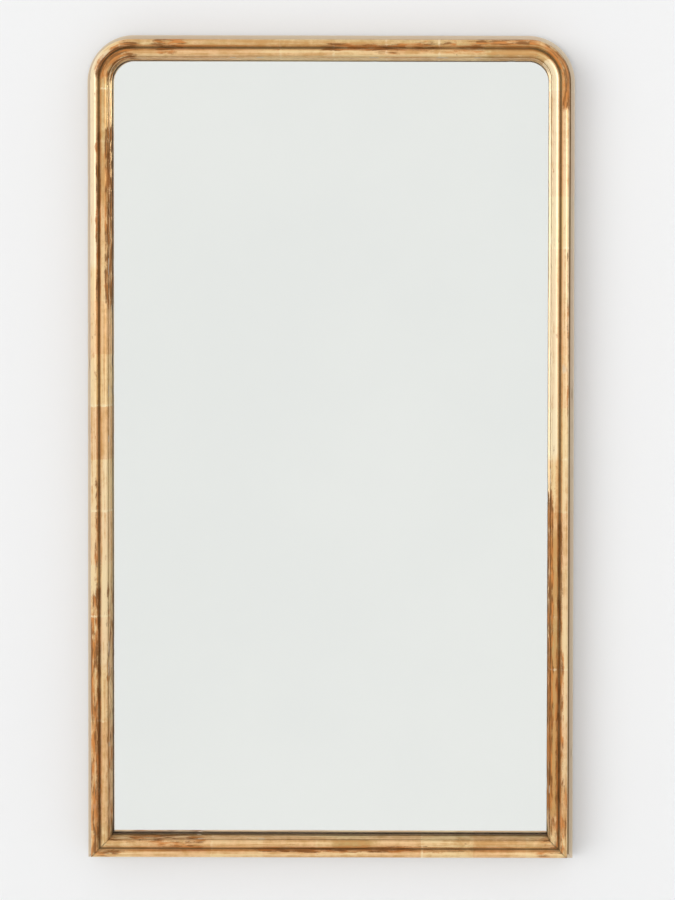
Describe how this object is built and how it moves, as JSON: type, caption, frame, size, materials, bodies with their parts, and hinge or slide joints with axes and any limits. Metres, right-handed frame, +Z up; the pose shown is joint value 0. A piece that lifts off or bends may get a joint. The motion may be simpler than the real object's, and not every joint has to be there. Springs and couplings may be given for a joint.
{
  "type": "pier mirror",
  "caption": "Tall wall mirror in a worn giltwood frame of two rolls and a groove, with rounded upper corners, mitred lower corners, a boarded back and swinging hanging rings.",
  "frame": {"origin": "on the plane of the wall, midway between the pivots of the two hanging rings", "axes": "+X to the right seen from the front, +Y into the wall, +Z up; the mirror faces -Y"},
  "size_m": [0.75, 0.0512, 1.27],
  "materials": {
    "gilding": "water-gilded leaf over red-brown bole and gesso on pine, rubbed and worn",
    "plate": "old silvered plate glass, faintly green",
    "pine": "sawn pine, darkened by age",
    "beech": "planed beech, glued",
    "iron": "forged, dark, lightly rusted"
  },
  "bodies": {
    "frame": {"left_stile": "gilding", "left_corner_block": "gilding", "right_stile": "gilding", "right_corner_block": "gilding", "top_rail": "gilding", "bottom_rail": "gilding", "mirror_plate": "plate", "left_glazing_block_1": "pine", "left_glazing_block_2": "pine", "left_glazing_block_3": "pine", "left_bottom_glazing_block": "pine", "left_top_glazing_block": "pine", "right_glazing_block_1": "pine", "right_glazing_block_2": "pine", "right_glazing_block_3": "pine", "right_bottom_glazing_block": "pine", "right_top_glazing_block": "pine", "back_board_1": "pine", "back_board_2": "pine", "back_board_3": "pine", "back_board_4": "pine", "back_board_5": "pine", "left_stile_tenon": "beech", "left_top_rail_tenon": "beech", "left_mitre_key": "beech", "right_stile_tenon": "beech", "right_top_rail_tenon": "beech", "right_mitre_key": "beech", "left_board_nail_1": "iron", "left_board_nail_2": "iron", "left_board_nail_3": "iron", "left_board_nail_4": "iron", "left_board_nail_5": "iron", "left_board_nail_6": "iron", "left_board_nail_7": "iron", "left_board_nail_8": "iron", "left_board_nail_9": "iron", "left_board_nail_10": "iron", "left_ring_strap": "iron", "left_strap_screw_1": "iron", "left_strap_screw_2": "iron", "right_board_nail_1": "iron", "right_board_nail_2": "iron", "right_board_nail_3": "iron", "right_board_nail_4": "iron", "right_board_nail_5": "iron", "right_board_nail_6": "iron", "right_board_nail_7": "iron", "right_board_nail_8": "iron", "right_board_nail_9": "iron", "right_board_nail_10": "iron", "right_ring_strap": "iron", "right_strap_screw_1": "iron", "right_strap_screw_2": "iron"},
    "left_ring": {"left_hanging_ring": "iron"},
    "right_ring": {"right_hanging_ring": "iron"}
  },
  "joints": [
    {"name": "left_ring_swing", "type": "hinge", "parent": "frame", "child": "left_ring", "pos_m": [-0.364, 0.0036, 0], "axis": [1, 0, 0], "range_deg": [-3, 180]},
    {"name": "right_ring_swing", "type": "hinge", "parent": "frame", "child": "right_ring", "pos_m": [0.364, 0.0036, 0], "axis": [1, 0, 0], "range_deg": [-3, 180]}
  ]
}
